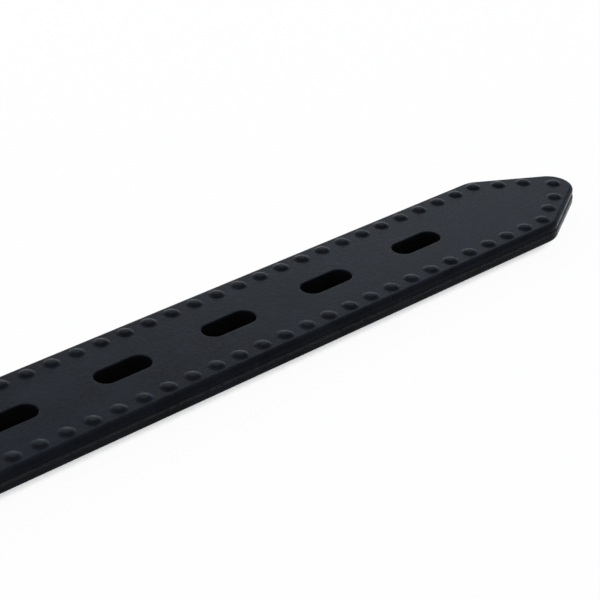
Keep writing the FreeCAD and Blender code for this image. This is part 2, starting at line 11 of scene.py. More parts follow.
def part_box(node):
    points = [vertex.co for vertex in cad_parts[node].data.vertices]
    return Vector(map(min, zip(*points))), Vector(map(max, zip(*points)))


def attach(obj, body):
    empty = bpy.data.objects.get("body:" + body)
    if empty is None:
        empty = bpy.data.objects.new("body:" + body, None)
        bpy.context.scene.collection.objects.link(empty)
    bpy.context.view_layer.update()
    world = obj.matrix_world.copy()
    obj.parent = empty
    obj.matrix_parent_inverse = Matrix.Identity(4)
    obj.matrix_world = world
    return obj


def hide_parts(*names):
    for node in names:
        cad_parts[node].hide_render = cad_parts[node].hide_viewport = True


bl_info = {
    "name": "Rubber buckle strap",
    "version": (1, 0, 0),
    "blender": (4, 5, 0),
    "location": "View3D > Sidebar > Strap",
    "description": "Builds a moulded two-ply rubber strap, its keepers and its buckle around a packed frame",
    "category": "Mesh",
}

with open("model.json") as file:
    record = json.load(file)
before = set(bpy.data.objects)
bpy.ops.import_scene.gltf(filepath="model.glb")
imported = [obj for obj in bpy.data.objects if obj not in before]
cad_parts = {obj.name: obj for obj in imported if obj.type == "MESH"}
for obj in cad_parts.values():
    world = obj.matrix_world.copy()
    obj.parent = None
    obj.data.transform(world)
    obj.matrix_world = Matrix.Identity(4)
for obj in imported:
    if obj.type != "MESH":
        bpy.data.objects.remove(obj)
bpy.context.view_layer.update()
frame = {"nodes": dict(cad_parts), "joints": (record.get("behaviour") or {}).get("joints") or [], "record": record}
MM = 0.001
QUARTER = np.pi / 2


# ---- Places, read from the frame

JOINTS = {joint["name"]: joint for joint in frame["joints"]}
MOUNTS = {mount["name"]: mount for mount in frame["record"]["mounts"]}
FACE_LOW, FACE_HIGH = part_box("strap_face")
BACK_LOW, BACK_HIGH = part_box("strap_backing")
BAR_X, _, JOINT_Z = JOINTS["buckle_swing"]["pos_m"]
FACE_Z = MOUNTS["slots_2_and_4"]["pos_m"][2]
MIDDLE_SLOT = MOUNTS["slots_2_and_4"]["pos_m"][0]
SLOT_PITCH = MOUNTS["slots_2_and_4"]["dims"]["spacing_x_mm"] * MM / 2
SLOT_LENGTH = MOUNTS["slots_2_and_4"]["dims"]["slot_length_mm"] * MM
SLOT_WIDTH = MOUNTS["slots_2_and_4"]["dims"]["hole_r_mm"] * MM * 2
SLOTS = [MIDDLE_SLOT + step * SLOT_PITCH for step in (-2, -1, 0, 1, 2)]


def box_centre(node):
    """Middle of a CAD node's box."""
    low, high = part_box(node)
    return (np.array(low) + np.array(high)) / 2


# ---- Sizes and colours that a user may change


def a_number(name, default, description, **kind):
    """Property for a number. Its kind is a unit or a subtype, where one fits."""
    return FloatProperty(name=name, description=description, default=default, **kind)


def a_length(name, millimetres, description):
    """Property for a length, with its default in millimetres."""
    return a_number(name, millimetres * MM, description, unit="LENGTH")


def an_angle(name, degrees, description):
    """Property for an angle, with its default in degrees."""
    return a_number(name, np.radians(degrees), description, subtype="ANGLE")


def a_colour(name, colour, description):
    """Property for a colour, with its default as red, green and blue."""
    return FloatVectorProperty(name=name, description=description, default=colour, size=3, subtype="COLOR")


class StrapSettings(bpy.types.PropertyGroup):
    """Sizes of the moulded strap."""

    tip_angle: an_angle("Tip angle", 29.5, "Angle of the tapered edges")
    tip_radius: a_length("Tip radius", 5.0, "Rounding of the tip")
    shoulder_radius: a_length("Shoulder radius", 7.0, "Rounding where the taper starts")
    top_rim: a_length("Top rim", 0.9, "Rounding of the upper edge")
    joint_rim: a_length("Joint rim", 0.22, "Rounding of both plies at their joint")
    bottom_rim: a_length("Bottom rim", 0.5, "Rounding of the lower edge")
    lip: a_length("Lip", 0.70, "Rounding of the lower ply's upper edge")
    slot_rim: a_length("Slot rim", 0.24, "Rounding of the slots' mouths")
    bead_diameter: a_length("Bead diameter", 3.0, "Bead across its foot")
    bead_height: a_length("Bead height", 0.72, "Bead above the face")
    bead_foot: a_length("Bead foot", 0.80, "Hollow rounding at a bead's foot")
    bead_inset: a_length("Bead inset", 2.9, "Strap's side to the bead row")
    bead_share: a_number("Beads per slot pitch", 4.5, "Bead spacings in one slot pitch")
    corner_bead: a_length("Corner bead", 28.0, "Last slot to the corner beads")
    taper_bead_spacing: a_length("Taper bead spacing", 5.775, "Bead to bead along the taper")
    taper_bead_angle: an_angle("Taper bead angle", 28.7, "Lean of the taper's bead rows")
    tip_bead_inset: a_length("Tip bead inset", 4.0, "Tip to the last bead")


class FoldSettings(bpy.types.PropertyGroup):
    """Sizes of the strap's fold round the buckle bar."""

    fold_angle: an_angle("Fold angle", 25.0, "Slope at which the fold closes behind the bar")
    fold_sweep: a_length("Fold sweep", 4.5, "Bend between the slope and the flat strap")
    fold_gap: a_length("Fold gap", 0.2, "Gap between the strap and its folded end")
    butt_gap: a_length("Butt gap", 0.3, "Folded end to the lower ply")
    fit: a_length("Bar fit", 0.1, "Room between the bar and the fold")
    window_width: a_length("Window width", 5.4, "Opening for the tongue")
    window_reach: a_length("Window reach", 12.0, "Bar to the opening's end")


class KeeperSettings(bpy.types.PropertyGroup):
    """Sizes of the keepers."""

    wall: a_length("Wall", 1.9, "Rubber of the keepers")
    corner: a_length("Corner", 0.8, "Inside corners")
    edge: a_length("Edge", 0.6, "Rounding of the band's edges")
    crown: a_length("Crown", 0.18, "How much thinner the band is at its edges")


class ScrewSettings(bpy.types.PropertyGroup):
    """Sizes of the screws and their posts."""

    head_edge: a_length("Head edge", 0.5, "Rounding of the heads")
    slot_width: a_length("Slot width", 1.0, "Driver slot")
    thread_radius: a_length("Thread radius", 1.5, "Shank of the screws")
    post_radius: a_length("Post radius", 2.3, "Barrel of the posts")
    post_fit: a_length("Post fit", 0.05, "Room round the posts")
    post_head: a_length("Post head", 1.2, "Height of a post's head")
    bore_radius: a_length("Bore radius", 1.55, "Bore of the posts")


class BuckleSettings(bpy.types.PropertyGroup):
    """Sizes of the buckle's frame, bar, roller and tongue."""

    arm_width: a_length("Arm width", 4.0, "Side arms across")
    arm_edge: a_length("Arm edge", 1.1, "Rounding of the arms' edges")
    rail_radius: a_length("Rail radius", 1.7, "Front rail under the roller")
    roller_wall: a_length("Roller wall", 1.2, "Sheet that the roller is rolled from")
    roller_seam: a_length("Roller seam", 0.3, "Open seam of the roller")
    tongue_thickness: a_length("Tongue thickness", 1.8, "Strip that the tongue is bent from")
    tongue_curl: an_angle("Tongue curl", 292.0, "How far the eye is rolled round the bar")
    tongue_wrap: an_angle("Tongue wrap", 38.0, "How far the nose bends down over the roller")


class FinishSettings(bpy.types.PropertyGroup):
    """Colours of the rubber, the steel and the tape."""

    rubber: a_colour("Rubber", (0.0080, 0.0093, 0.0136), "Moulded rubber")
    backing: a_colour("Backing", (0.0142, 0.0149, 0.0178), "Rubber of the lower ply, paler with dust")
    # This colour serves the specks of dust and also the painted highlights on the bead tops and along the lower
    # ply's edge.
    dust: a_colour("Dust", (0.040, 0.041, 0.043), "Fine dust on the rubber")
    steel: a_colour("Steel", (0.44, 0.45, 0.46), "Satin steel")
    tape: a_colour("Tape", (0.55, 0.53, 0.48), "Woven tape")


# ---- Outlines, as points and inward normals

SAME_POINT = 1e-7            # points closer than this are one point
STATION_ROOM = 1e-5          # least distance from a station to the end of a straight side
COLLAR = 0.05 * MM           # flat ring kept beyond the roundings of an edge
SLOT_COLLAR = 0.1 * MM       # the same, round the slots and the lower ply
QUARTER_POINTS = 7           # points on the quarter circle of a rounded edge or corner
HALF_POINTS = 17             # points on the half circle at a slot's end


def arc(centre, radius, start, end, count):
    """Points on a circle between two angles: centre + radius * (cos, sin)."""
    angle = np.linspace(start, end, count)
    return centre + radius * np.column_stack([np.cos(angle), np.sin(angle)])


def inward(points):
    """Left-hand normals of a closed outline: the mean direction of the two sides at a point, turned left."""
    ahead = np.roll(points, -1, axis=0) - points
    ahead /= np.linalg.norm(ahead, axis=1, keepdims=True)
    along = ahead + np.roll(ahead, 1, axis=0)
    along /= np.linalg.norm(along, axis=1, keepdims=True)
    return np.column_stack([-along[:, 1], along[:, 0]])


def without_repeats(points):
    """A closed outline without points that fall on the one before."""
    step = np.linalg.norm(points - np.roll(points, 1, axis=0), axis=1)
    return points[step > SAME_POINT]


def round_hole(centre, radius, count=32):
    """Circle, clockwise, so that the rubber is on its left."""
    return arc(centre, radius, 0, -2 * np.pi, count + 1)[:-1]


def straight(start, end, v, stations):
    """Points at the stations along a straight side at v, from start to end."""
    low, high = sorted((start, end))
    inside = np.sort([u for u in stations if low + STATION_ROOM < u < high - STATION_ROOM])
    return np.column_stack([inside if start < end else inside[::-1], np.full(len(inside), v)])


def long_hole(middle, half_length, radius, stations=()):
    """Round-ended hole, clockwise: two half circles joined by straight sides, with points at the stations."""
    left = middle - half_length + radius
    right = middle + half_length - radius
    return np.vstack([
        arc((right, 0), radius, QUARTER, -QUARTER, HALF_POINTS),
        straight(right, left, -radius, stations),
        arc((left, 0), radius, -QUARTER, -3 * QUARTER, HALF_POINTS),
        straight(left, right, radius, stations),
    ])


def plate_outline(u0, u1, half_width, corner, stations=(), far_corner=None):
    """Rectangle with round corners, anticlockwise, with points at the stations along its sides. The far end
    may have corners of its own, with more points."""
    far = corner if far_corner is None else far_corner
    far_points = QUARTER_POINTS if far_corner is None else 2 * QUARTER_POINTS - 1
    near = u0 + corner
    end = u1 - far
    return without_repeats(np.vstack([
        arc((end, far - half_width), far, -QUARTER, 0, far_points),
        arc((end, half_width - far), far, 0, QUARTER, far_points),
        straight(end, near, half_width, stations),
        arc((near, half_width - corner), corner, QUARTER, 2 * QUARTER, QUARTER_POINTS),
        arc((near, corner - half_width), corner, 2 * QUARTER, 3 * QUARTER, QUARTER_POINTS),
        straight(near, end, -half_width, stations),
    ]))


def strap_outline(strap, start, tip, half_width, proud, stations):
    """Strap's outline, anticlockwise. Each side ends in a shoulder arc, a straight taper and the tip's
    circle, which all touch without a corner. The far end is square with small round corners."""
    lean = strap.tip_angle
    tip_radius = strap.tip_radius + proud
    shoulder = strap.shoulder_radius + proud
    centre = tip - tip_radius
    corner = centre + (tip_radius - half_width * np.cos(lean)) / np.sin(lean)
    turn_in = corner - shoulder * np.tan(lean / 2)
    square = 1.2 * MM
    left = np.vstack([
        arc((centre, 0.0), tip_radius, 0.0, QUARTER - lean, count=15)[1:],
        arc((turn_in, half_width - shoulder), shoulder, QUARTER - lean, QUARTER, count=9),
        straight(turn_in, start + square, half_width, stations),
        arc((start + square, half_width - square), square, QUARTER, 2 * QUARTER, count=6),
    ])
    return without_repeats(np.vstack([[(tip, 0.0)], left, left[::-1] * (1, -1)]))


def edge_section(outer, inner, collar=COLLAR):
    """Section of a plate's edge, from the outer face to the inner one: inset from the edge, depth from the
    face, and 0 or 1 for the face it counts from. Both roundings are quarter circles, and a flat collar lies
    beyond each."""
    angle = np.linspace(0, QUARTER, QUARTER_POINTS)
    inset = np.concatenate([[outer + collar], outer * (1 - np.sin(angle)), inner * (1 - np.cos(angle)),
                            [inner + collar]])
    depth = np.concatenate([[0], outer * (1 - np.cos(angle)), -inner * (1 - np.sin(angle)), [0]])
    return inset, depth, np.repeat([0.0, 1.0], QUARTER_POINTS + 1)


def bead_section(strap):
    """Section of a bead from its flat collar to near its top, as radius and height. A hollow arc at the foot
    runs tangentially into the arc of the ball's cap, and the ball is sized to the bead's height and foot."""
    ball = (strap.bead_diameter ** 2 / 4 + strap.bead_height ** 2) / (2 * strap.bead_height)
    ball_middle = strap.bead_height - ball
    foot = strap.bead_foot
    foot_radius = np.sqrt((ball + foot) ** 2 - (foot - ball_middle) ** 2)
    meeting = np.arctan2(foot_radius, foot - ball_middle)
    hollow = np.linspace(0, meeting, 5)
    cap = np.linspace(meeting, 0, 9)[1:-1]
    radius = np.concatenate([[foot_radius + COLLAR], foot_radius - foot * np.sin(hollow), ball * np.sin(cap)])
    height = np.concatenate([[0], foot - foot * np.cos(hollow), ball_middle + ball * np.cos(cap)])
    return radius, height


# ---- Meshes

WELD = 1e-6                  # points closer than this are merged
NO_LENGTH = 1e-8             # edges shorter than this are taken out
CREASE = np.radians(40)      # an edge that turns further than this is sharp
ON_AXIS = 1e-9               # radius of a ring that closes a turned profile, until its points are merged
BEAD_POINTS = 28             # points round a bead


def add_object(name, data):
    """Object at the origin, in the scene."""
    made = bpy.data.objects.new(name, data)
    bpy.context.scene.collection.objects.link(made)
    return made


class Path:
    """Line of straight runs and arcs in the plane of x and z. Each piece is a length and a turn left."""

    def __init__(self, start, heading, pieces):
        self.start = start
        self.heading = heading
        self.pieces = pieces
        self.length = sum(length for length, turn in pieces)

    def at(self, s):
        """x, z and heading at the distances s. A straight piece adds distance times (cos, sin) of its
        heading; an arc adds the change of (sin, -cos) of the heading over its bend. Each distance is held to
        its piece, so the sum over the pieces is the point, and before the start the line runs straight."""
        before = np.minimum(s, 0)
        x = self.start[0] + before * np.cos(self.heading)
        z = self.start[1] + before * np.sin(self.heading)
        heading = np.full(len(s), self.heading)
        done = 0.0
        at_start = self.heading
        for length, turn in self.pieces:
            along = np.clip(s - done, 0, length)
            bend = turn / length
            if turn == 0:
                x = x + along * np.cos(at_start)
                z = z + along * np.sin(at_start)
            else:
                x = x + (np.sin(at_start + bend * along) - np.sin(at_start)) / bend
                z = z - (np.cos(at_start + bend * along) - np.cos(at_start)) / bend
            heading = heading + bend * along
            at_start += turn
            done += length
        return x, z, heading

    def place(self, s, v, offset):
        """Points at distance s, v across and offset to the right of the line."""
        x, z, heading = self.at(s)
        return np.column_stack([x + offset * np.sin(heading), v, z - offset * np.cos(heading)])


class Surface:
    """Vertices and faces gathered for one mesh."""

    def __init__(self):
        self.vertices = []
        self.faces = []
        self.count = 0

    def add(self, vertices, faces):
        """Add vertices, and faces that count them from 0."""
        self.vertices.append(np.asarray(vertices, float).reshape(-1, 3))
        self.faces += (np.asarray(faces) + self.count).tolist()
        self.count += len(self.vertices[-1])

    def add_grid(self, grid, closed_rows=False, closed_columns=True):
        """Add a grid of points as quads, joined round where it is closed."""
        rows, columns = grid.shape[:2]
        index = np.arange(rows * columns).reshape(rows, columns)
        if closed_rows:
            index = np.vstack([index, index[:1]])
        if closed_columns:
            index = np.hstack([index, index[:, :1]])
        quads = np.stack([index[:-1, :-1], index[:-1, 1:], index[1:, 1:], index[1:, :-1]], axis=-1)
        self.add(grid, quads.reshape(-1, 4))

    def add_fan(self, ring, middle):
        """Close a ring of points with triangles to its middle."""
        index = np.arange(len(ring))
        fan = np.column_stack([index, np.roll(index, -1), np.full(len(ring), len(ring))])
        self.add(np.vstack([ring, middle]), fan)

    def add_turned(self, rows, place, count=48):
        """Turn a profile about its axis: each row of (radius, height) becomes a ring of points, which place
        sets down from (radius * cos, radius * sin, height). Rows at radius 0 close it."""
        angle = np.linspace(0, 2 * np.pi, count, endpoint=False)
        rows = np.array(rows)
        radius = np.maximum(rows[:, 0], ON_AXIS)[:, None]
        points = np.stack([radius * np.cos(angle), radius * np.sin(angle),
                           np.repeat(rows[:, 1:2], count, axis=1)], axis=-1)
        self.add_grid(place(points.reshape(-1, 3)).reshape(points.shape))

    def add_plate(self, outline, holes, edges, lay, stations=(), beads=None):
        """Add a plate in flat coordinates (u along, v across), set down by lay(u, v, depth, face).

        The outline and holes keep the material on their left. Each carries its edge section inwards as a grid
        of rings. The two flat faces fill what the innermost rings leave, with a line across at each station.
        A bead is a ring of its own section that grows out of the upper face.
        """
        upper = []
        lower = []
        for loop, (inset, depth, face) in zip([outline] + holes, edges):
            rings = loop + inset[:, None, None] * inward(loop)
            placed = lay(*rings.reshape(-1, 2).T, np.repeat(depth, len(loop)), np.repeat(face, len(loop)))
            self.add_grid(placed.reshape(*rings.shape[:2], 3))
            upper.append(rings[0])
            lower.append(rings[-1])
        if beads is not None:
            centres, radius, height, top = beads
            angle = np.linspace(0, 2 * np.pi, BEAD_POINTS, endpoint=False)
            ring = np.column_stack([np.cos(angle), np.sin(angle)])
            level = np.repeat(-height, BEAD_POINTS)
            for centre in centres:
                rings = centre + radius[:, None, None] * ring
                placed = lay(*rings.reshape(-1, 2).T, level, 0 * level).reshape(*rings.shape[:2], 3)
                self.add_grid(placed)
                self.add_fan(placed[-1], lay(centre[:1], centre[1:], np.array([-top]), np.zeros(1)))
                upper.append(rings[0])
        for loops, face in ((upper, 0.0), (lower, 1.0)):
            flat, triangles = fill_flat(loops, stations)
            self.add(lay(*flat.T, np.zeros(len(flat)), np.full(len(flat), face)), triangles)

    def add_bar(self, outline, rims, lay, stations=(), collar=COLLAR):
        """Add a plate with no holes. Its rims are the roundings of its outer and inner edges."""
        self.add_plate(outline, [], [edge_section(*rims, collar)], lay, stations)

    def mesh(self, name, finish):
        """The gathered faces as a mesh with its finish."""
        mesh = bpy.data.meshes.new(name)
        mesh.from_pydata(np.vstack(self.vertices).tolist(), [], self.faces)
        mesh.materials.append(finish)
        return mesh

    def make(self, name, finish, body, stands_for):
        """Weld the seams, turn the faces outwards and make the piece, which rides on a body."""
        mesh = self.mesh(name, finish)
        work = bmesh.new()
        work.from_mesh(mesh)
        bmesh.ops.remove_doubles(work, verts=work.verts, dist=WELD)
        bmesh.ops.dissolve_degenerate(work, edges=work.edges, dist=NO_LENGTH)
        bmesh.ops.recalc_face_normals(work, faces=work.faces)
        work.to_mesh(mesh)
        work.free()
        mesh.shade_smooth()
        mesh.set_sharp_from_angle(angle=CREASE)
        piece = add_object(name, mesh)
        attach(piece, body)
        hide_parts(*stands_for)


def fill_flat(loops, stations):
    """Triangles of the area inside the first loop and outside the others. Each station is a line across,
    held just inside the first loop. The work is done in millimetres."""
    room = 0.02 * MM
    inside_only = 1
    same_point = 1e-5
    scale = 1 / MM
    edges = []
    faces = []
    points = []
    for loop in loops:
        turned_left = np.sum(loop[:, 0] * np.roll(loop[:, 1], -1) - np.roll(loop[:, 0], -1) * loop[:, 1]) > 0
        ring = np.arange(len(loop)) + len(points)
        edges += np.column_stack([ring, np.roll(ring, -1)]).tolist()
        faces.append((ring if turned_left else ring[::-1]).tolist())
        points += (loop * scale).tolist()
    half = loops[0][loops[0][:, 1] > 0]
    order = np.argsort(half[:, 0], kind="stable")
    for u in stations:
        if half[:, 0].min() + room < u < half[:, 0].max() - room:
            v = np.interp(u, half[order, 0], half[order, 1]) - room
            edges.append([len(points), len(points) + 1])
            points += [[u * scale, -v * scale], [u * scale, v * scale]]
    made = delaunay_2d_cdt(points, edges, faces, inside_only, same_point)
    flat = np.array([tuple(vertex) for vertex in made[0]]) / scale
    return flat, [face for face, inside in zip(made[2], made[5]) if set(inside) == {0}]


# ---- Finishes


class Value:
    """A socket of a node tree that can be used in expressions, each of which adds a Math node."""

    def __init__(self, tree, socket):
        self.tree = tree
        self.socket = socket

    def math(self, operation, first, second):
        """One Math node."""
        return self.tree.node("ShaderNodeMath", {"operation": operation}, {0: first, 1: second})

    def __add__(self, other):
        return self.math("ADD", self, other)

    def __radd__(self, other):
        return self.math("ADD", other, self)

    def __sub__(self, other):
        return self.math("SUBTRACT", self, other)

    def __rsub__(self, other):
        return self.math("SUBTRACT", other, self)

    def __mul__(self, other):
        return self.math("MULTIPLY", self, other)

    def __rmul__(self, other):
        return self.math("MULTIPLY", other, self)

    def __or__(self, other):
        return self.math("MAXIMUM", self, other)

    def __abs__(self):
        return self.math("ABSOLUTE", self, 0.0)


class Tree:
    """Node tree of a material or of the world."""

    def __init__(self, owner):
        owner.use_nodes = True
        self.nodes = owner.node_tree.nodes
        self.links = owner.node_tree.links
        self.nodes.clear()

    def node(self, kind, settings=None, sockets=None, output=0):
        """Add a node, set its settings, then its sockets by name or number, and give one of its outputs."""
        made = self.nodes.new(kind)
        for name, setting in (settings or {}).items():
            setattr(made, name, setting)
        for name, value in (sockets or {}).items():
            if isinstance(value, Value):
                self.links.new(value.socket, made.inputs[name])
            else:
                made.inputs[name].default_value = value
        return Value(self, made.outputs[output]) if len(made.outputs) else None

    def place(self):
        """Object coordinates."""
        return self.node("ShaderNodeTexCoord", output="Object")

    def along(self, where, axis):
        """One of the three coordinates."""
        return self.node("ShaderNodeSeparateXYZ", sockets={"Vector": where}, output=axis)

    def stretched(self, where, scale):
        """Coordinates scaled apart along the three axes."""
        return self.node("ShaderNodeMapping", sockets={"Vector": where, "Scale": scale})

    def noise(self, where, scale, detail=2.0, roughness=0.5):
        """Noise between 0 and 1."""
        return self.node("ShaderNodeTexNoise",
                         sockets={"Vector": where, "Scale": scale, "Detail": detail, "Roughness": roughness})

    def step(self, value, low, high):
        """Smooth step from 0 to 1 as a value goes from low to high."""
        return self.node("ShaderNodeMapRange", {"interpolation_type": "SMOOTHSTEP"},
                         {"Value": value, "From Min": low, "From Max": high})

    def mix(self, share, first, second):
        """Mix of two colours."""
        return self.node("ShaderNodeMix", {"data_type": "RGBA"}, {0: share, 6: first, 7: second}, output=2)

    def bump(self, height, distance, strength=1.0):
        """Normals of a height in metres times distance."""
        return self.node("ShaderNodeBump", sockets={"Height": height, "Distance": distance,
                                                    "Strength": strength})

    def surface(self, painted_shade=None, **sockets):
        """Principled surface with the given sockets, as the material's output. Where the shade factor is 1, the
        surface is mixed into a nearly black, fully matt diffuse: painted shade."""
        named = {name.replace("_", " "): value for name, value in sockets.items()}
        shader = self.node("ShaderNodeBsdfPrincipled", sockets=named)
        if painted_shade is not None:
            # Painted shade: a nearly black matt diffuse, mixed in where the shade factor is 1.
            nearly_black = (0.008, 0.007, 0.007, 1.0)
            black = self.node("ShaderNodeBsdfDiffuse", sockets={"Color": nearly_black})
            shader = self.node("ShaderNodeMixShader", sockets={0: painted_shade, 1: shader, 2: black})
        self.node("ShaderNodeOutputMaterial", sockets={"Surface": shader})


def new_material(name):
    """Material with an empty node tree, and the tree."""
    material = bpy.data.materials.new(name)
    return material, Tree(material)


def shade(colour, share=1.0):
    """A colour with its alpha, made darker or lighter."""
    return (*[part * share for part in colour], 1.0)


def painted_slot_shade(tree, where, low, high):
    """Painted shade in the cut slots: 1 on their walls, which lie near the middle line between the strap's two
    faces. It fades out beside the slots, behind the strap's middle and towards each face."""
    fade = 0.4 * MM
    past_slots = 2.9 * MM
    on_slots = 2.6 * MM
    height = tree.along(where, "Z")
    beside = tree.step(abs(tree.along(where, "Y")), past_slots, on_slots)
    ahead = tree.step(tree.along(where, "X"), 0, MM)
    return beside * ahead * tree.step(height, low, low + fade) * tree.step(height, high, high - fade)


def painted_lip_highlight(tree, where, lip):
    """Painted highlight: 1 in short streaks on the strap's outer edge, near the lip's height and away from the
    slots.
    """
    streak = tree.noise(tree.stretched(where, [900.0, 900.0, 2500.0]), scale=1.0, detail=3.0, roughness=0.6)
    edge = tree.step(abs(tree.along(where, "Z") - lip), 0.42 * MM, 0.10 * MM)
    outside = tree.step(abs(tree.along(where, "Y")), 3.0 * MM, 4.0 * MM)
    return edge * outside * tree.step(streak, 0.30, 0.62)


def rubber_finish(name, colour, dust, grain=1.0, slot_shade_heights=None, painted_highlight_heights=None, lip=None):
    """Moulded rubber: a fine matt grain, slow cloudiness, faint paler patches and a few specks of dust. The slot
    heights are the two heights between which slots are cut; their walls get painted shade, mixed towards a nearly
    black matt surface. The highlight heights are the two heights between which whatever stands up gets a painted
    highlight in the dust colour. A lip is the height of an outer edge with a painted highlight in pale streaks."""
    material, tree = new_material(name)
    where = tree.place()
    fine = tree.noise(where, scale=1500.0, detail=4.0, roughness=0.65)
    coarse = tree.noise(where, scale=900.0, detail=2.0, roughness=0.55)
    cloud = tree.step(tree.noise(where, scale=90.0, detail=4.0, roughness=0.6), 0.3, 0.7)
    patch = tree.step(tree.noise(where, scale=160.0, detail=4.0, roughness=0.65), 0.52, 0.72)
    specks = tree.node("ShaderNodeTexVoronoi", {"feature": "F1"}, {"Vector": where, "Scale": 260.0})
    chance = tree.step(tree.noise(where, scale=190.0, detail=1.0), 0.66, 0.70)
    speck = tree.step(specks, 0.075, 0.03) * chance
    paler = shade(colour, 1.9)
    rubber = tree.mix(cloud, shade(colour, 0.65), shade(colour, 1.35))
    rubber = tree.mix(patch * 0.6, rubber, paler)
    rubber = tree.mix(tree.step(fine, 0.35, 0.75) * 0.5, rubber, paler)
    # Painted highlight: whatever stands up between the two heights, the bead tops and the fold round the bar, is
    # made paler in the dust colour.
    if painted_highlight_heights is not None:
        raised = tree.step(tree.along(where, "Z"), *painted_highlight_heights)
        rubber = tree.mix(raised * 0.6, rubber, shade(dust))
    rubber = tree.mix(speck * 0.7, rubber, shade(dust, 2.0))
    # Painted highlight: pale streaks along the lower ply's upper edge, in the dust colour.
    if lip is not None:
        rubber = tree.mix(painted_lip_highlight(tree, where, lip), rubber, shade(dust))
    roughness = 0.24 + (cloud - 0.5) * 0.14 + (fine - 0.5) * 0.80 - patch * 0.03
    grains = tree.bump(fine * 0.55 + coarse * 0.45, distance=0.00009 * grain, strength=0.6)
    # Painted shade on the slot walls, which are mixed towards a nearly black matt surface.
    painted_shade = None if slot_shade_heights is None else painted_slot_shade(tree, where, *slot_shade_heights)
    tree.surface(painted_shade, Base_Color=rubber, Roughness=roughness, Specular_IOR_Level=0.017, Sheen_Weight=0.179,
                 Sheen_Roughness=0.3, Sheen_Tint=(0.21, 0.57, 1.0, 1.0), Normal=grains)
    return material


def steel_finish(name, colour, brushed, roughness=0.28):
    """Satin steel: fine lines along one direction, soft blotches and a few scratches. Brushed is the lines'
    scale along the three axes, and the scratches cross them."""
    material, tree = new_material(name)
    where = tree.place()
    crossed = [part * 2.2 for part in brushed[1:] + brushed[:1]]
    lines = tree.noise(tree.stretched(where, brushed), scale=1.0, detail=4.0, roughness=0.65)
    blotch = tree.noise(where, scale=140.0, detail=3.0, roughness=0.6)
    scratch = tree.step(tree.noise(tree.stretched(where, crossed), scale=1.0, detail=1.0), 0.70, 0.76)
    metal = tree.mix(blotch, shade(colour, 0.90), shade(colour, 1.06))
    metal = tree.mix(scratch * 0.4, metal, shade(colour, 1.3))
    rough = roughness + (blotch - 0.5) * 0.16 + (lines - 0.5) * 0.14 + scratch * 0.08
    marks = tree.bump(lines * 0.7 + blotch * 0.3 - scratch * 0.3, distance=0.00003, strength=0.35)
    tree.surface(Base_Color=metal, Roughness=rough, Metallic=1.0, Normal=marks)
    return material


def tape_finish(name, colour):
    """Woven tape: warp and weft cords cross over and under each other, with fine fibre."""
    material, tree = new_material(name)
    where = tree.place()
    warp = tree.node("ShaderNodeTexWave", {"bands_direction": "Y"}, {"Vector": where, "Scale": 420.0})
    weft = tree.node("ShaderNodeTexWave", {"bands_direction": "X"}, {"Vector": where, "Scale": 300.0})
    fibre = tree.noise(where, scale=3200.0)
    cords = warp * weft + (1 - warp) * (1 - weft)
    woven = tree.mix(cords * 0.7 + fibre * 0.3, shade(colour, 0.55), shade(colour, 1.1))
    relief = tree.bump(cords + fibre * 0.3, distance=0.00012, strength=0.8)
    tree.surface(Base_Color=woven, Roughness=0.7 + fibre * 0.2, Normal=relief)
    return material


def paint_node(node, material):
    """Give a CAD node its finish."""
    mesh = frame["nodes"][node].data
    mesh.materials.clear()
    mesh.materials.append(material)


# ---- The strap


def fold_line(fold, strap_low):
    """Middle line of the folded ply from the flat strap round the bar to the flat end underneath, and the
    thickness along it. The line leaves the flat in a bend to the right, runs up a slope, turns left round
    the bar, runs down the other slope and bends right into the flat again. Slopes touch the ring, so each
    meets its flat at (ring - flat * cos) / sin of the slope."""
    lean = fold.fold_angle
    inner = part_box("buckle_bar")[1].z - JOINT_Z + fold.fit
    outer = BAR_X - FACE_LOW.x
    ring = (inner + outer) / 2
    top = FACE_Z - JOINT_Z
    low = strap_low - fold.fold_gap
    heights = (top / 2, (strap_low + fold.fold_gap) / 2)
    corners = [(ring - height * np.cos(lean)) / np.sin(lean) for height in heights]
    bend = fold.fold_sweep * np.tan(lean / 2)
    touch = (ring * np.sin(lean), ring * np.cos(lean))
    slopes = [np.hypot(corner - touch[0], touch[1] - height) - bend
              for corner, height in zip(corners, heights)]
    begin = fold.fold_sweep * lean
    round_bar = np.pi + 2 * lean
    run_out = 0.2
    pieces = [(begin, -lean), (slopes[0], 0), (ring * round_bar, round_bar), (slopes[1], 0), (begin, -lean),
              (run_out, 0)]
    start = (BAR_X + corners[0] + bend, JOINT_Z + heights[0])
    path = Path(start, np.pi, pieces)
    after = begin + slopes[0] + ring * round_bar
    curved = after + slopes[1] + begin

    def thickness(s):
        """Full thickness on the flat, the fold's wall round the bar and the lower thickness underneath."""
        first = np.clip((s - begin / 2) / (slopes[0] + begin / 2), 0, 1)
        second = np.clip((s - after) / (slopes[1] + begin / 2), 0, 1)
        first = first * first * (3 - 2 * first)
        second = second * second * (3 - 2 * second)
        return top + (outer - inner - top) * first + (low - outer + inner) * second

    return path, thickness, start[0], curved, BAR_X + corners[1] + bend


def bead_places(strap):
    """Two rows along the sides up to the corners, pairs along the taper and one bead at the tip."""
    row = FACE_HIGH.y - strap.bead_inset
    corner = SLOTS[-1] + strap.corner_bead
    pitch = SLOT_PITCH / strap.bead_share
    room = corner - BACK_LOW.x - strap.bead_diameter
    along = corner - np.arange(int(room / pitch) + 1) * pitch
    steps = np.array([1, 2]) * strap.taper_bead_spacing
    x = np.concatenate([along, corner + steps * np.cos(strap.taper_bead_angle)])
    y = np.concatenate([np.full(len(along), row), row - steps * np.sin(strap.taper_bead_angle)])
    both = np.vstack([np.column_stack([x, y]), np.column_stack([x, -y])])
    return np.vstack([both, [(FACE_HIGH.x - strap.tip_bead_inset, 0.0)]])


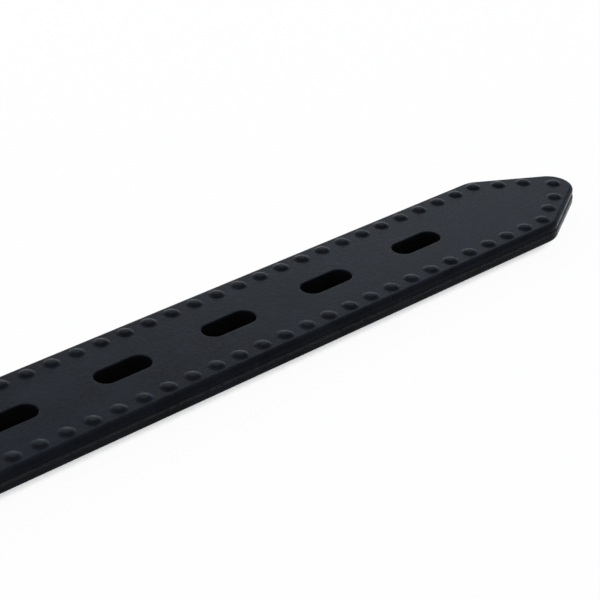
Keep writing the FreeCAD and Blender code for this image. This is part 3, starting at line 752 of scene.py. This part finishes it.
def make_strap_face(strap, fold, screws, finish):
    """Upper ply: the flat strap with its slots, beads and screw holes, folded round the bar with an opening
    for the tongue. u counts along the unfolded ply and equals x on the flat."""
    path, thickness, flat_start, curved, low_start = fold_line(fold, JOINT_Z - BACK_LOW.z)

    def lay(u, v, depth, face):
        """Down the folded line, half a thickness out from the middle line, less the depth."""
        s = flat_start - u
        full = thickness(s)
        return path.place(s, v, full / 2 - face * full - depth)

    def unfolded(x):
        """u of the place under x on the folded end."""
        return flat_start - curved - (x - low_start)

    screw_rim = 0.15 * MM
    stations = flat_start - np.linspace(0, curved, 72)
    start = unfolded(BACK_LOW.x - fold.butt_gap)
    outline = strap_outline(strap, start, FACE_HIGH.x, FACE_HIGH.y, 0.0, stations)
    window = (BAR_X + fold.window_reach, unfolded(BAR_X + fold.window_reach))
    holes = [long_hole(x, SLOT_LENGTH / 2, SLOT_WIDTH / 2) for x in SLOTS]
    holes.append(long_hole(sum(window) / 2, (window[0] - window[1]) / 2, fold.window_width / 2, stations))
    edges = [edge_section(strap.top_rim, strap.joint_rim)]
    edges += [edge_section(strap.slot_rim, strap.joint_rim, SLOT_COLLAR)] * len(holes)
    for number in (1, 2, 3, 4):
        place = box_centre(f"screw_cap_{number}")
        for u in (place[0], unfolded(place[0])):
            holes.append(round_hole((u, place[1]), screws.post_radius + screws.post_fit))
            edges.append(edge_section(screw_rim, screw_rim))
    surface = Surface()
    surface.add_plate(outline, holes, edges, lay, stations, (bead_places(strap), *bead_section(strap),
                                                            strap.bead_height))
    surface.make("strap_face_moulded", finish, "strap", ["strap_face"])


def flat_lay(top, thickness):
    """Flat plate from its top down: x = u, y = v, z = top - face * thickness - depth."""
    return lambda u, v, depth, face: np.column_stack([u, v, top - face * thickness - depth])


def rolled_lay(path, thickness):
    """Plate bent along a line: offset from the line = thickness / 2 - face * thickness - depth."""
    return lambda u, v, depth, face: path.place(u, v, thickness / 2 - face * thickness - depth)


def make_strap_backing(strap, finish):
    """Lower ply, standing a little proud of the upper one, with the same slots."""
    proud = BACK_HIGH.y - FACE_HIGH.y
    slot_foot = 0.05 * MM
    outline = strap_outline(strap, BACK_LOW.x, BACK_HIGH.x, BACK_HIGH.y, proud, ())
    holes = [long_hole(x, SLOT_LENGTH / 2, SLOT_WIDTH / 2) for x in SLOTS]
    edges = [edge_section(strap.lip, strap.bottom_rim, SLOT_COLLAR)]
    edges += [edge_section(strap.joint_rim, slot_foot, SLOT_COLLAR)] * len(holes)
    surface = Surface()
    surface.add_plate(outline, holes, edges, flat_lay(JOINT_Z, JOINT_Z - BACK_LOW.z))
    surface.make("strap_backing_moulded", finish, "strap", ["strap_backing"])


def make_keeper(node, body, keepers, finish):
    """Closed band: a crowned section with round edges carried round a rectangle with round corners."""
    corner_points = 13
    section_points = 23
    low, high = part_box(node)
    middle = box_centre(node)
    wall = keepers.wall
    bend = keepers.corner + wall / 2
    half = np.array([high.y - middle[1], high.z - middle[2]]) - wall / 2
    corners = [((1, -1), -QUARTER), ((1, 1), 0), ((-1, 1), QUARTER), ((-1, -1), 2 * QUARTER)]
    path = np.vstack([arc(np.array(sign) * (half - bend), bend, first, first + QUARTER, corner_points)
                      for sign, first in corners])
    outward = np.vstack([arc((0.0, 0.0), 1.0, first, first + QUARTER, corner_points)
                         for sign, first in corners])
    width = (high.x - low.x) / 2
    stations = np.linspace(-width, width, section_points)[1:-1]
    section = plate_outline(-width, width, wall / 2, keepers.edge, stations)
    rise = section[:, 1] - keepers.crown * (section[:, 0] / width) ** 2 * (section[:, 1] > 0)
    ring = path[:, None, :] + outward[:, None, :] * rise[None, :, None]
    grid = np.stack([np.broadcast_to(middle[0] + section[:, 0], ring.shape[:2]),
                     middle[1] + ring[..., 0], middle[2] + ring[..., 1]], axis=-1)
    surface = Surface()
    surface.add_grid(grid, closed_rows=True)
    surface.make(f"{node}_moulded", finish, body, [node])


# ---- Screws and buckle


def rounded_end(radius, end, edge, side):
    """Rows of a turned profile at a rounded end: a quarter circle from the side to the flat."""
    angle = np.linspace(0, QUARTER, QUARTER_POINTS)
    return np.column_stack([radius - edge + edge * np.cos(angle), end - side * edge * (1 - np.sin(angle))])


def on_axle(x):
    """Place of a piece turned about an axle that lies along y at x."""
    return lambda points: points[:, [0, 2, 1]] + (x, 0, JOINT_Z)


def upright(x, y):
    """Place of a piece turned about an upright line at x and y."""
    return lambda points: points + (x, y, 0)


def add_half_cap(surface, rows, half_slot, side, place, count=41):
    """Half of a slotted cap: each row (radius, height) is an arc between two ends, which lie at
    arcsin(half slot / radius) from the slot's line. A flat wall joins those, and fans close top and foot."""
    radius, height = np.array(rows).T[:, :, None]
    reach = np.arcsin(half_slot / radius)
    angle = side + reach + (np.pi - 2 * reach) * np.linspace(0, 1, count)
    grid = place(np.stack([radius * np.cos(angle), radius * np.sin(angle), height + 0 * angle], axis=-1))
    surface.add_grid(grid, closed_columns=False)
    surface.add_grid(grid[:, [0, -1]], closed_columns=False)
    for ring in (grid[0], grid[-1]):
        surface.add_fan(ring, ring.mean(axis=0))


def make_screw_cap(node, screws, finish):
    """Slotted screw: a disc carries two raised half caps with the driver slot between them, and a shank."""
    low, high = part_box(node)
    middle = box_centre(node)
    radius = (high.x - low.x) / 2
    head = high.z - FACE_Z
    floor = high.z - head / 2
    chamfer = 0.12 * MM
    place = upright(*middle[:2])
    surface = Surface()
    surface.add_turned([(0, FACE_Z), (radius - chamfer, FACE_Z), (radius, FACE_Z + chamfer), (radius, floor),
                        (0, floor)], place, count=80)
    rows = [(radius, floor)] + rounded_end(radius, high.z, screws.head_edge, 1).tolist()
    for side in (0.0, np.pi):
        add_half_cap(surface, rows, screws.slot_width / 2, side, place)
    thread = screws.thread_radius
    chamfer = 0.2 * MM
    root = FACE_Z + head / 4
    surface.add_turned([(0, root), (thread, root), (thread, low.z + chamfer), (thread - chamfer, low.z),
                        (0, low.z)], place, count=32)
    surface.make(f"{node}_turned", finish, "strap", [node])


def make_screw_post(node, screws, finish):
    """Headed barrel: a turned profile with a rounded head below and an open bore above."""
    low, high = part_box(node)
    middle = box_centre(node)
    radius = (high.x - low.x) / 2
    barrel = screws.post_radius
    bore = screws.bore_radius
    seat = low.z + screws.post_head
    chamfer = 0.08 * MM
    floor = seat + 0.4 * MM
    rows = [(0, low.z)]
    rows += rounded_end(radius, low.z, screws.head_edge, -1)[::-1].tolist()
    rows += [(radius, seat - chamfer), (radius - chamfer, seat), (barrel, seat), (barrel, high.z),
             (bore, high.z), (bore, floor), (0, floor)]
    surface = Surface()
    surface.add_turned(rows, upright(*middle[:2]))
    surface.make(f"{node}_turned", finish, "strap", [node])


def make_buckle_frame(buckle, finish):
    """Two side arms with well rounded edges and the round rail between their ends."""
    low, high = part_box("buckle_frame")
    outer = 2.6 * MM
    inner = 1.4 * MM
    far_side = high.y - outer
    near_side = high.y - buckle.arm_width + inner
    arm = without_repeats(np.vstack([
        arc((low.x + outer, far_side), outer, QUARTER, 2 * QUARTER, count=15),
        arc((low.x + inner, near_side), inner, 2 * QUARTER, 3 * QUARTER, count=7),
        arc((high.x - inner, near_side), inner, -QUARTER, 0, count=7),
        arc((high.x - outer, far_side), outer, 0, QUARTER, count=15),
    ]))
    surface = Surface()
    for outline in (arm, arm[::-1] * (1, -1)):
        surface.add_bar(outline, (buckle.arm_edge, buckle.arm_edge), flat_lay(high.z, high.z - low.z))
    rail = buckle.rail_radius
    end = high.y - buckle.arm_width / 2
    axle = on_axle(box_centre("buckle_roller")[0])
    surface.add_turned([(0, -end), (rail, -end), (rail, end), (0, end)], axle)
    surface.make("buckle_frame_forged", finish, "buckle", ["buckle_frame"])


def make_buckle_bar(finish):
    """Pin with rounded ends, turned about the swing axis."""
    low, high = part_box("buckle_bar")
    radius = (high.z - low.z) / 2
    edge = 0.4 * MM
    rows = [(0, -high.y)] + rounded_end(radius, -high.y, edge, -1)[::-1].tolist()
    rows += rounded_end(radius, high.y, edge, 1).tolist() + [(0, high.y)]
    surface = Surface()
    surface.add_turned(rows, on_axle(BAR_X))
    surface.make("buckle_bar_turned", finish, "buckle", ["buckle_bar"])


def make_buckle_roller(buckle, finish):
    """Sheet rolled into a tube, with its open seam underneath: a plate laid round a circle."""
    low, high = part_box("buckle_roller")
    wall = buckle.roller_wall
    corner = 0.32 * MM
    rims = (0.2 * MM, 0.12 * MM)
    middle = (high.z - low.z) / 2 - wall / 2
    gap = buckle.roller_seam / 2 / middle
    turn = 2 * np.pi - 2 * gap
    start = (box_centre("buckle_roller")[0] + middle * np.sin(gap), JOINT_Z - middle * np.cos(gap))
    path = Path(start, gap, [(middle * turn, turn)])
    stations = np.linspace(0, path.length, 73)
    outline = plate_outline(0, path.length, high.y, corner, stations)
    surface = Surface()
    surface.add_bar(outline, rims, rolled_lay(path, wall), stations)
    surface.make("buckle_roller_rolled", finish, "roller", ["buckle_roller"])


def make_buckle_tongue(buckle, fold, finish):
    """Flat strip: an eye rolled round the bar, a straight run that touches eye and nose, and a nose bent down
    over the roller. The straight run leans by arcsin of the difference of the two radii over the reach."""
    thick = buckle.tongue_thickness
    seat = 0.05 * MM
    eye_corner = 0.6 * MM
    nose_corner = 1.3 * MM
    rims = (0.4 * MM, 0.3 * MM)
    collar = 0.08 * MM
    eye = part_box("buckle_bar")[1].z - JOINT_Z + fold.fit + thick / 2
    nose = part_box("buckle_roller")[1].z - JOINT_Z + seat + thick / 2
    reach = BAR_X - box_centre("buckle_roller")[0]
    lean = np.arcsin((nose - eye) / reach)
    curl = buckle.tongue_curl
    wrap = buckle.tongue_wrap + lean
    heading = np.pi - lean - curl
    run = np.sqrt(reach ** 2 - (nose - eye) ** 2)
    start = (BAR_X + eye * np.sin(heading), JOINT_Z - eye * np.cos(heading))
    path = Path(start, heading, [(eye * curl, curl), (run, 0), (nose * wrap, wrap)])
    round_bar = np.linspace(0, eye * curl, 61)
    over_roller = np.linspace(eye * curl + run, path.length, 16)
    stations = np.concatenate([round_bar, over_roller])
    half = box_centre("buckle_tongue")[1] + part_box("buckle_tongue")[1].y
    outline = plate_outline(0, path.length, half, eye_corner, stations, nose_corner)
    surface = Surface()
    surface.add_bar(outline, rims, rolled_lay(path, thick), stations, collar)
    surface.make("buckle_tongue_bent", finish, "tongue", ["buckle_tongue"])


# ---- Floor, light and camera

PLAIN_WHITE = (1.0, 1.0, 1.0, 1.0)
LAMP_AIM = (0.05, 0.0, 0.0)


def seen_rays(tree):
    """1 for what the camera sees, directly, in a reflection or through glass."""
    kinds = [tree.node("ShaderNodeLightPath", output=name)
             for name in ("Is Camera Ray", "Is Glossy Ray", "Is Transmission Ray")]
    return kinds[0] | kinds[1] | kinds[2]


def white_world(strength):
    """World that is white where it is seen and lights the object softly."""
    world = bpy.data.worlds.new("studio")
    bpy.context.scene.world = world
    tree = Tree(world)
    cool_white = (0.96, 0.98, 1.0, 1.0)
    light = tree.node("ShaderNodeBackground", sockets={"Color": cool_white, "Strength": strength})
    white = tree.node("ShaderNodeBackground", sockets={"Color": PLAIN_WHITE, "Strength": 1.0})
    both = tree.node("ShaderNodeMixShader", sockets={0: seen_rays(tree), 1: light, 2: white})
    tree.node("ShaderNodeOutputWorld", sockets={"Surface": both})


def floor_finish():
    """Pale floor: seen, it is nearly white with the object's shadow, darkest close to where the object
    covers it, and fades to plain white further out. To all other light it is grey paper."""
    material, tree = new_material("pale_floor")
    away = tree.node("ShaderNodeVectorMath", {"operation": "LENGTH"}, {0: tree.place()}, output="Value")
    open_sky = tree.node("ShaderNodeAmbientOcclusion", {"samples": 8}, {"Distance": 0.012}, output="AO")
    near = 0.14 + tree.step(open_sky, 0.05, 0.20) * 0.82
    share = near + (1 - near) * tree.step(away, 0.3, 1.2)
    paper = tree.node("ShaderNodeBsdfDiffuse", sockets={"Color": (0.35, 0.35, 0.35, 1.0)})
    bright = tree.node("ShaderNodeBsdfDiffuse", sockets={"Color": PLAIN_WHITE})
    white = tree.node("ShaderNodeEmission", sockets={"Color": PLAIN_WHITE, "Strength": 1.0})
    seen = tree.node("ShaderNodeMixShader", sockets={0: share, 1: bright, 2: white})
    both = tree.node("ShaderNodeMixShader", sockets={0: seen_rays(tree), 1: paper, 2: seen})
    tree.node("ShaderNodeOutputMaterial", sockets={"Surface": both})
    return material


def make_floor(stage):
    """Flat round floor: rings of points at growing radii, closed to the middle."""
    surface = Surface()
    surface.add_turned([(0, 0), (0.3, 0), (1.2, 0), (stage.floor_radius, 0)], upright(0, 0))
    floor = add_object("floor", surface.mesh("floor", floor_finish()))


def add_lamp(name, place, size, power, colour):
    """Rectangular area lamp, turned towards the strap."""
    data = bpy.data.lights.new(name, "AREA")
    data.shape = "RECTANGLE"
    data.size, data.size_y = size
    data.energy = power
    data.color = colour
    lamp = add_object(name, data)
    lamp.location = place
    lamp.rotation_mode = "QUATERNION"
    lamp.rotation_quaternion = (Vector(LAMP_AIM) - Vector(place)).to_track_quat("-Z", "Y")


def add_camera(stage):
    """Camera set by where it looks from, its turn and tilt, and its roll."""
    turn, tilt, roll = stage.camera_turn, stage.camera_tilt, stage.camera_roll
    back = Vector((np.sin(turn) * np.cos(tilt), -np.cos(turn) * np.cos(tilt), np.sin(tilt)))
    right = (-back).cross(Vector((0, 0, 1))).normalized()
    up = right.cross(-back)
    across = np.cos(roll) * right + np.sin(roll) * up
    upward = np.cos(roll) * up - np.sin(roll) * right
    data = bpy.data.cameras.new("camera")
    data.sensor_width = 36.0
    data.lens = stage.camera_lens
    data.clip_start = 0.01
    data.clip_end = 50.0
    camera = add_object("camera", data)
    camera.matrix_world = Matrix((across, upward, back)).transposed().to_4x4()
    camera.location = stage.camera_place
    bpy.context.scene.camera = camera


# ---- Add-on


class StageSettings(bpy.types.PropertyGroup):
    """Floor, light and camera."""

    floor_radius: a_number("Floor radius", 8.0, "Size of the floor", unit="LENGTH")
    key_power: a_number("Key lamp", 8.0, "Lamp behind and above", unit="POWER")
    rim_power: a_number("Rim lamp", 0.78, "Low lamp on the far side", unit="POWER")
    world_strength: a_number("World", 0.50, "Light from all round")
    camera_place: FloatVectorProperty(name="Camera", description="Camera's place",
                                      default=(-0.13428, -0.23386, 0.18697), subtype="TRANSLATION")
    camera_turn: a_number("Camera turn", -0.7477, "Turn about the vertical", subtype="ANGLE")
    camera_tilt: a_number("Camera tilt", 0.5196, "Height above the horizon", subtype="ANGLE")
    camera_roll: a_number("Camera roll", 0.0213, "Roll about the view", subtype="ANGLE")
    camera_lens: a_number("Lens", 111.81, "Focal length", unit="CAMERA")


class AllSettings(bpy.types.PropertyGroup):
    """Everything that a user may change."""

    strap: PointerProperty(type=StrapSettings, name="Strap", description="Moulded strap")
    fold: PointerProperty(type=FoldSettings, name="Fold", description="Fold round the bar")
    keepers: PointerProperty(type=KeeperSettings, name="Keepers", description="Keepers")
    screws: PointerProperty(type=ScrewSettings, name="Screws", description="Screws and posts")
    buckle: PointerProperty(type=BuckleSettings, name="Buckle", description="Buckle")
    finish: PointerProperty(type=FinishSettings, name="Finish", description="Colours")
    stage: PointerProperty(type=StageSettings, name="Stage", description="Floor, light and camera")


class STRAP_OT_stage(bpy.types.Operator):
    """Set up the floor, the light and the camera"""

    bl_idname = "strap.stage"
    bl_label = "Stage"

    def execute(self, context):
        stage = context.scene.strap_settings.stage
        context.scene.view_settings.view_transform = "Standard"
        white_world(stage.world_strength)
        make_floor(stage)
        add_lamp("key", place=(0.15, 0.70, 0.85), size=(1.8, 1.8), power=stage.key_power,
                 colour=(0.95, 0.975, 1.0))
        add_lamp("rim", place=(0.57, 0.49, 0.22), size=(0.5, 0.4), power=stage.rim_power,
                 colour=(0.84, 0.92, 1.0))
        add_camera(stage)
        return {"FINISHED"}


class STRAP_OT_strap(bpy.types.Operator):
    """Make both rubber plies and finish the tapes between them"""

    bl_idname = "strap.strap"
    bl_label = "Strap"

    def execute(self, context):
        chosen = context.scene.strap_settings
        colours = chosen.finish
        # Heights of the painted shade in the slots, of the painted highlight on the bead tops and of the painted
        # highlight along the lower ply's edge.
        slot_shade_heights = (BACK_LOW.z, FACE_Z)
        bead_highlight_heights = (FACE_Z + 0.36 * MM, FACE_Z + 0.70 * MM)
        lip = JOINT_Z - 0.53 * MM
        face = rubber_finish("face_rubber", colours.rubber, colours.dust, 1.0, slot_shade_heights, painted_highlight_heights=bead_highlight_heights)
        backing = rubber_finish("backing_rubber", colours.backing, colours.dust, 1.4, slot_shade_heights, lip=lip)
        make_strap_face(chosen.strap, chosen.fold, chosen.screws, face)
        make_strap_backing(chosen.strap, backing)
        tape = tape_finish("tape_weave", colours.tape)
        for node in ("reinforcement_tape_left", "reinforcement_tape_right"):
            paint_node(node, tape)
        return {"FINISHED"}


class STRAP_OT_keepers(bpy.types.Operator):
    """Make the fixed keeper and the sliding keeper"""

    bl_idname = "strap.keepers"
    bl_label = "Keepers"

    def execute(self, context):
        chosen = context.scene.strap_settings
        finish = rubber_finish("keeper_rubber", chosen.finish.rubber, chosen.finish.dust, 1.2)
        make_keeper("fixed_keeper", "strap", chosen.keepers, finish)
        make_keeper("sliding_keeper", "keeper", chosen.keepers, finish)
        return {"FINISHED"}


class STRAP_OT_screws(bpy.types.Operator):
    """Make the four screws and their posts"""

    bl_idname = "strap.screws"
    bl_label = "Screws"

    def execute(self, context):
        chosen = context.scene.strap_settings
        finish = steel_finish("screw_satin", chosen.finish.steel, [900.0, 900.0, 260.0], 0.24)
        for number in (1, 2, 3, 4):
            make_screw_cap(f"screw_cap_{number}", chosen.screws, finish)
            make_screw_post(f"screw_post_{number}", chosen.screws, finish)
        return {"FINISHED"}


class STRAP_OT_buckle(bpy.types.Operator):
    """Make the buckle's frame, bar, roller and tongue"""

    bl_idname = "strap.buckle"
    bl_label = "Buckle"

    def execute(self, context):
        chosen = context.scene.strap_settings
        steel = chosen.finish.steel
        sizes = chosen.buckle
        along = [120.0, 2200.0, 2200.0]
        across = [2200.0, 120.0, 2200.0]
        make_buckle_frame(sizes, steel_finish("frame_satin", steel, along))
        make_buckle_bar(steel_finish("bar_satin", steel, across, 0.22))
        make_buckle_roller(sizes, steel_finish("roller_satin", steel, across, 0.25))
        make_buckle_tongue(sizes, chosen.fold, steel_finish("tongue_satin", steel, along, 0.26))
        return {"FINISHED"}


class STRAP_PT_panel(bpy.types.Panel):
    """Panel that lists the strap's operators"""

    bl_idname = "STRAP_PT_panel"
    bl_label = "Rubber buckle strap"
    bl_space_type = "VIEW_3D"
    bl_region_type = "UI"
    bl_category = "Strap"

    def draw(self, context):
        for operator in OPERATORS:
            self.layout.operator(operator.bl_idname)


OPERATORS = [STRAP_OT_stage, STRAP_OT_strap, STRAP_OT_keepers, STRAP_OT_screws, STRAP_OT_buckle]
GROUPS = [StrapSettings, FoldSettings, KeeperSettings, ScrewSettings, BuckleSettings, FinishSettings,
          StageSettings, AllSettings]
CLASSES = GROUPS + OPERATORS + [STRAP_PT_panel]


def register():
    """Register the classes and the scene's settings."""
    for item in CLASSES:
        bpy.utils.register_class(item)
    bpy.types.Scene.strap_settings = PointerProperty(type=AllSettings, name="Strap settings",
                                                     description="Sizes and colours of the strap")


def unregister():
    """Take the settings and the classes away again."""
    del bpy.types.Scene.strap_settings
    for item in reversed(CLASSES):
        bpy.utils.unregister_class(item)


def main():
    """Run every operator in order."""
    register()
    for operator in OPERATORS:
        group, name = operator.bl_idname.split(".")
        getattr(getattr(bpy.ops, group), name)()


if __name__ == "__main__":
    main()
